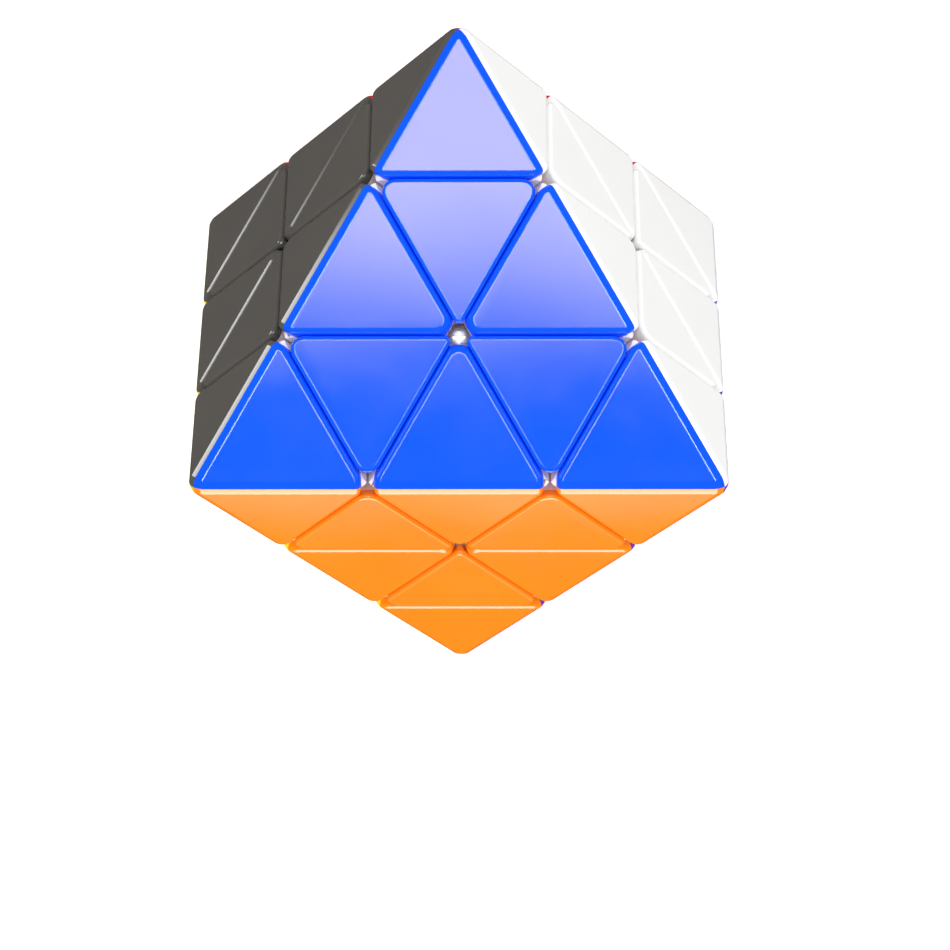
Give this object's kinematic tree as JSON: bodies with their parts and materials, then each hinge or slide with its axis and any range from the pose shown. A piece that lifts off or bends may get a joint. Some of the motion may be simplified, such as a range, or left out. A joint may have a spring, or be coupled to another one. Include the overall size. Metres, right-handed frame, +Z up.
{
  "type": "face-turning octahedron twisty puzzle",
  "caption": "Eight-coloured octahedral twisty puzzle of gloss plastic caps on white bodies, with sprung axles inside and layers that turn about each face.",
  "frame": {"origin": "the middle of the green face that the puzzle rests on", "axes": "+Z up through the middle of the upper (blue) face, +Y towards the rear corner of the upper face, front is -Y, +X to the right"},
  "size_m": [0.0948, 0.1094, 0.0784],
  "materials": {
    "blue_plastic": "polished moulded ABS, deep blue",
    "grey_plastic": "polished moulded ABS, dark warm grey",
    "orange_plastic": "polished moulded ABS, orange",
    "white_plastic": "polished moulded ABS, white",
    "green_plastic": "polished moulded ABS, green",
    "red_plastic": "polished moulded ABS, red",
    "yellow_plastic": "polished moulded ABS, yellow",
    "purple_plastic": "polished moulded ABS, purple",
    "inner_plastic": "unpolished natural white moulded plastic",
    "core_plastic": "unpolished moulded nylon, off white",
    "screw_steel": "bright plated steel",
    "spring_steel": "drawn spring wire"
  },
  "bodies": {
    "core_and_middle_slice": {"core_spider_frame": "core_plastic", "axle_screws": "screw_steel", "axle_springs": "spring_steel", "axle_washers": "screw_steel", "retainers_side": "inner_plastic", "edge_grey_red_body": "inner_plastic", "edge_white_red_body": "inner_plastic", "edge_grey_yellow_body": "inner_plastic", "edge_orange_yellow_body": "inner_plastic", "edge_orange_purple_body": "inner_plastic", "edge_white_purple_body": "inner_plastic", "centre_body_grey_middle": "inner_plastic", "centre_body_orange_middle": "inner_plastic", "centre_body_white_middle": "inner_plastic", "centre_body_red_middle": "inner_plastic", "centre_body_yellow_middle": "inner_plastic", "centre_body_purple_middle": "inner_plastic", "caps_grey_middle": "grey_plastic", "caps_orange_middle": "orange_plastic", "caps_white_middle": "white_plastic", "caps_red_middle": "red_plastic", "caps_yellow_middle": "yellow_plastic", "caps_purple_middle": "purple_plastic"},
    "upper_layer": {"retainer_upper": "inner_plastic", "corner_upper_rear_body": "inner_plastic", "corner_upper_left_body": "inner_plastic", "corner_upper_right_body": "inner_plastic", "edge_blue_grey_body": "inner_plastic", "edge_blue_orange_body": "inner_plastic", "edge_blue_white_body": "inner_plastic", "centre_bodies_blue": "inner_plastic", "centre_bodies_grey_upper": "inner_plastic", "centre_bodies_orange_upper": "inner_plastic", "centre_bodies_white_upper": "inner_plastic", "caps_blue": "blue_plastic", "caps_grey_upper": "grey_plastic", "caps_orange_upper": "orange_plastic", "caps_white_upper": "white_plastic", "cap_red_upper": "red_plastic", "cap_yellow_upper": "yellow_plastic", "cap_purple_upper": "purple_plastic"},
    "lower_layer": {"retainer_lower": "inner_plastic", "corner_lower_front_body": "inner_plastic", "corner_lower_right_body": "inner_plastic", "corner_lower_left_body": "inner_plastic", "edge_green_red_body": "inner_plastic", "edge_green_yellow_body": "inner_plastic", "edge_green_purple_body": "inner_plastic", "centre_bodies_green": "inner_plastic", "centre_bodies_red_lower": "inner_plastic", "centre_bodies_yellow_lower": "inner_plastic", "centre_bodies_purple_lower": "inner_plastic", "caps_green": "green_plastic", "cap_grey_lower": "grey_plastic", "cap_orange_lower": "orange_plastic", "cap_white_lower": "white_plastic", "caps_red_lower": "red_plastic", "caps_yellow_lower": "yellow_plastic", "caps_purple_lower": "purple_plastic"}
  },
  "joints": [
    {"name": "upper_face_turn", "type": "hinge", "parent": "core_and_middle_slice", "child": "upper_layer", "pos_m": [0, 0, 0.07838], "axis": [0, 0, 1], "continuous": true},
    {"name": "lower_face_turn", "type": "hinge", "parent": "core_and_middle_slice", "child": "lower_layer", "pos_m": [0, 0, 0], "axis": [0, 0, -1], "continuous": true}
  ]
}
